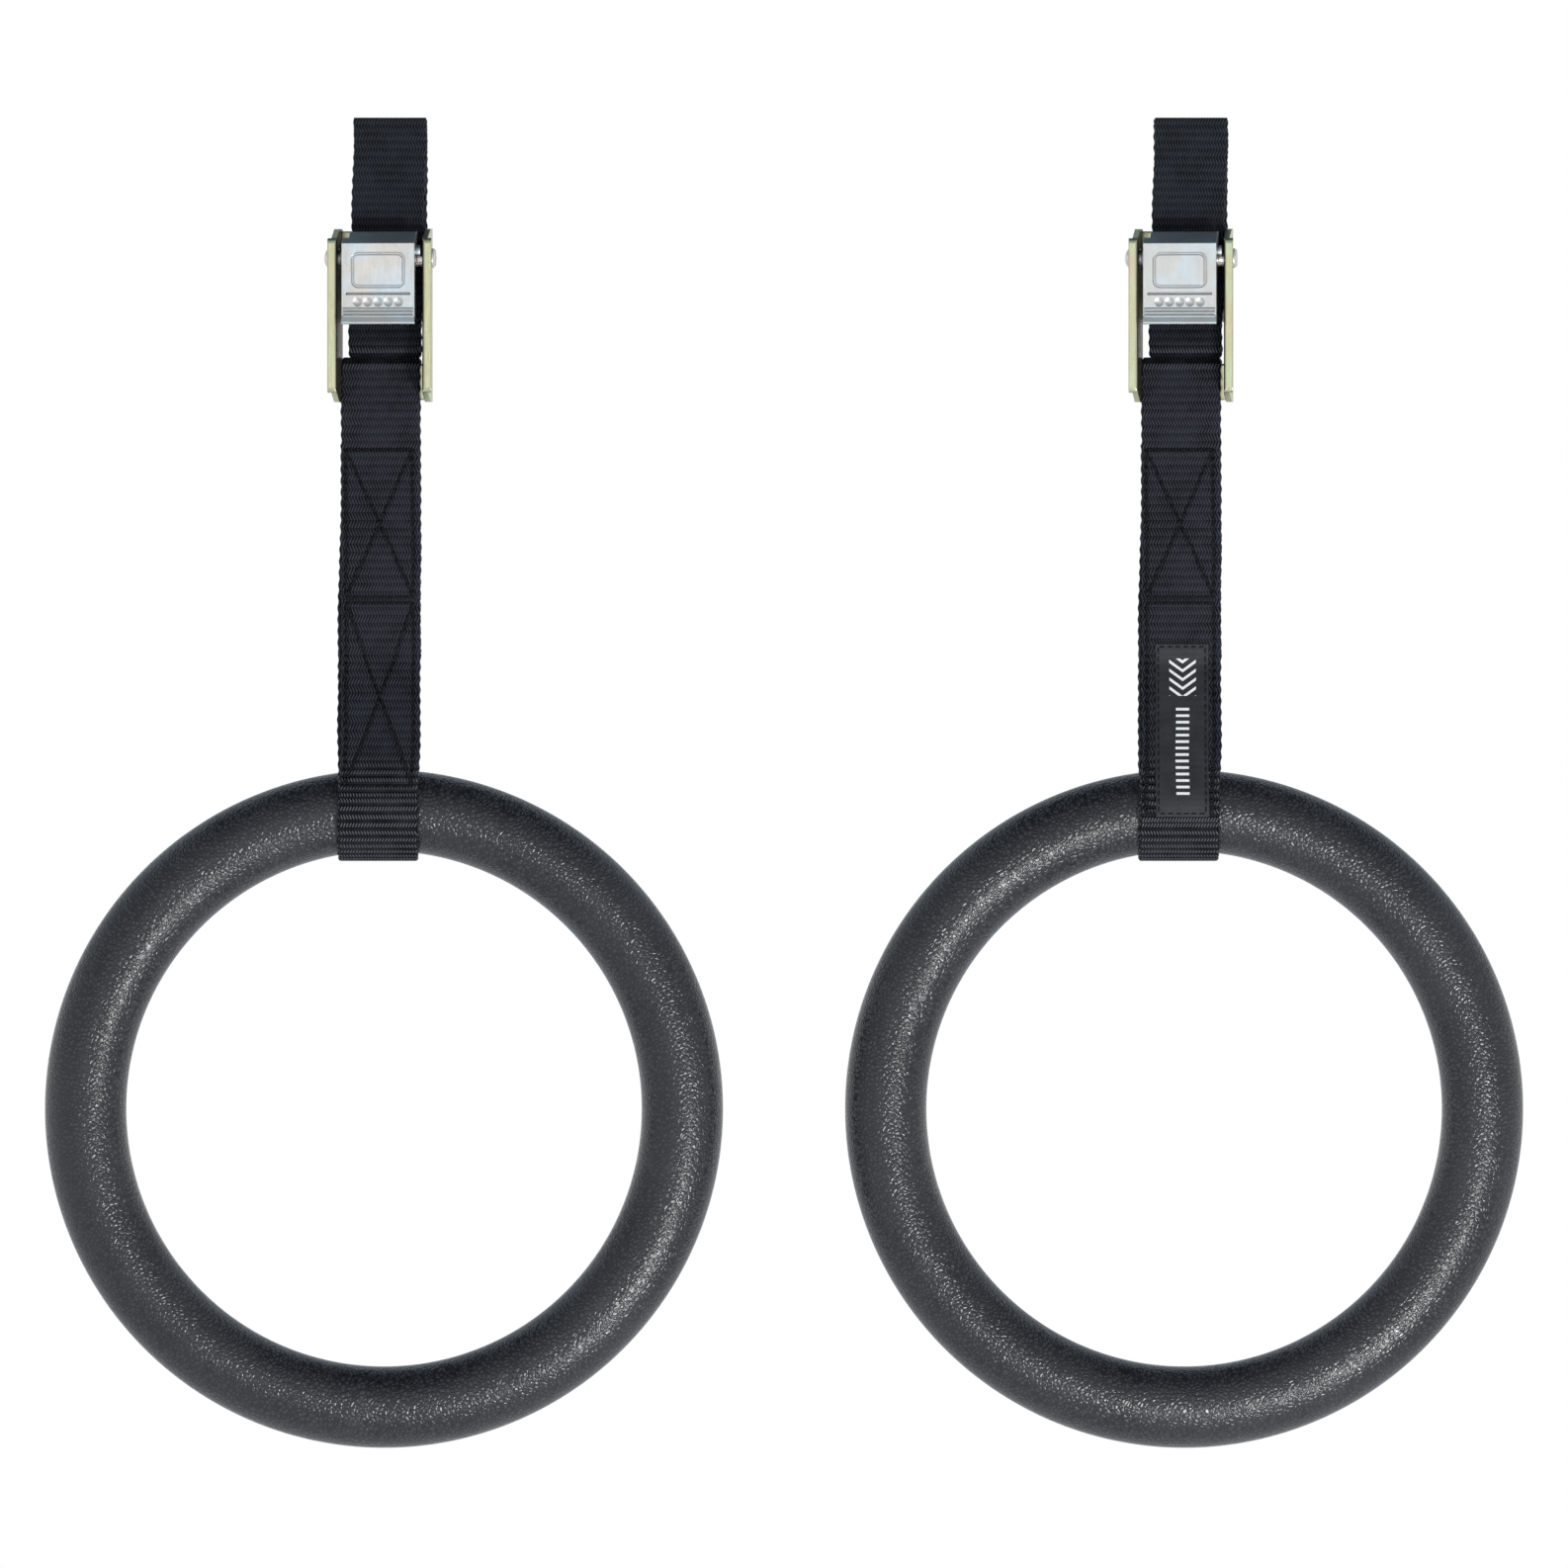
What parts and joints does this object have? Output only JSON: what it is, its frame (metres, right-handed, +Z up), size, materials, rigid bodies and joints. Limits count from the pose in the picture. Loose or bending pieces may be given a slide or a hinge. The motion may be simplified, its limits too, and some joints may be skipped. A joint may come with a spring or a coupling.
{
  "type": "gymnastics rings",
  "caption": "Pair of hollow moulded gymnastics rings, each hung in a sewn webbing loop from a press-to-release cam buckle on a flat adjusting strap.",
  "frame": {"origin": "midway between the two strap eyes, on the line of the bar they hang on", "axes": "+Z up, +X towards the right ring, -Y is the front, where the levers are"},
  "size_m": [0.5144, 0.0375, 0.4626],
  "materials": {
    "long_webbing": "woven, matt with a faint sheen",
    "ring_webbing": "woven, matt with a faint sheen",
    "zinc_frame": "yellow passivated zinc, satin",
    "zinc_lever": "clear passivated zinc, satin",
    "rivet_steel": "zinc plated, satin",
    "spring_steel": "drawn wire",
    "ring_plastic": "pebbled grain, semi-matt",
    "label_satin": "woven satin"
  },
  "bodies": {
    "anchors": {"left_strap_eye": "long_webbing", "right_strap_eye": "long_webbing"},
    "left_strap": {"left_long_strap": "long_webbing"},
    "left_buckle": {"left_buckle_frame": "zinc_frame", "left_pivot_pin": "rivet_steel", "left_torsion_spring": "spring_steel", "left_strap_tail": "long_webbing", "left_bar_loop": "ring_webbing"},
    "left_cam": {"left_cam_lever": "zinc_lever"},
    "left_lower_strap": {"left_ring_strap": "ring_webbing"},
    "left_cradle": {"left_strap_cradle": "ring_webbing"},
    "left_ring": {"left_ring_front_half": "ring_plastic", "left_ring_rear_half": "ring_plastic"},
    "right_strap": {"right_long_strap": "long_webbing"},
    "right_buckle": {"right_buckle_frame": "zinc_frame", "right_pivot_pin": "rivet_steel", "right_torsion_spring": "spring_steel", "right_strap_tail": "long_webbing", "right_bar_loop": "ring_webbing"},
    "right_cam": {"right_cam_lever": "zinc_lever"},
    "right_lower_strap": {"right_ring_strap": "ring_webbing", "right_label": "label_satin"},
    "right_cradle": {"right_strap_cradle": "ring_webbing"},
    "right_ring": {"right_ring_front_half": "ring_plastic", "right_ring_rear_half": "ring_plastic"}
  },
  "joints": [
    {"name": "left_swing", "type": "hinge", "parent": "anchors", "child": "left_strap", "pos_m": [-0.1392, 0, 0], "axis": [1, 0, 0], "range_deg": [-30, 30]},
    {"name": "left_height", "type": "slide", "parent": "left_strap", "child": "left_buckle", "axis": [0, 0, 1], "range_m": [-0.02, 0]},
    {"name": "left_lever", "type": "hinge", "parent": "left_buckle", "child": "left_cam", "pos_m": [-0.13982, -0.0101, -0.0412], "axis": [0.9903, -0.1392, 0], "range_deg": [0, 22], "stiffness_Nm_per_rad": 0.05, "springref_deg": -17.19, "deforming": ["left_torsion_spring"]},
    {"name": "left_twist", "type": "hinge", "parent": "left_buckle", "child": "left_lower_strap", "pos_m": [-0.1399, -0.0027, -0.0977], "axis": [0, 0, 1], "range_deg": [-90, 90], "stiffness_Nm_per_rad": 0.01},
    {"name": "left_tilt", "type": "hinge", "parent": "left_lower_strap", "child": "left_cradle", "pos_m": [-0.1392, 0, -0.2331], "axis": [1, 0, 0], "range_deg": [-40, 40]},
    {"name": "left_spin", "type": "hinge", "parent": "left_cradle", "child": "left_ring", "pos_m": [-0.1392, 0, -0.3369], "axis": [0, 1, 0], "continuous": true},
    {"name": "right_swing", "type": "hinge", "parent": "anchors", "child": "right_strap", "pos_m": [0.1392, 0, 0], "axis": [1, 0, 0], "range_deg": [-30, 30]},
    {"name": "right_height", "type": "slide", "parent": "right_strap", "child": "right_buckle", "axis": [0, 0, 1], "range_m": [-0.02, 0]},
    {"name": "right_lever", "type": "hinge", "parent": "right_buckle", "child": "right_cam", "pos_m": [0.13858, -0.0101, -0.0412], "axis": [0.9903, -0.1392, 0], "range_deg": [0, 22], "stiffness_Nm_per_rad": 0.05, "springref_deg": -17.19, "deforming": ["right_torsion_spring"]},
    {"name": "right_twist", "type": "hinge", "parent": "right_buckle", "child": "right_lower_strap", "pos_m": [0.1385, -0.0027, -0.0977], "axis": [0, 0, 1], "range_deg": [-90, 90], "stiffness_Nm_per_rad": 0.01},
    {"name": "right_tilt", "type": "hinge", "parent": "right_lower_strap", "child": "right_cradle", "pos_m": [0.1392, 0, -0.2331], "axis": [1, 0, 0], "range_deg": [-40, 40]},
    {"name": "right_spin", "type": "hinge", "parent": "right_cradle", "child": "right_ring", "pos_m": [0.1392, 0, -0.3369], "axis": [0, 1, 0], "continuous": true}
  ]
}
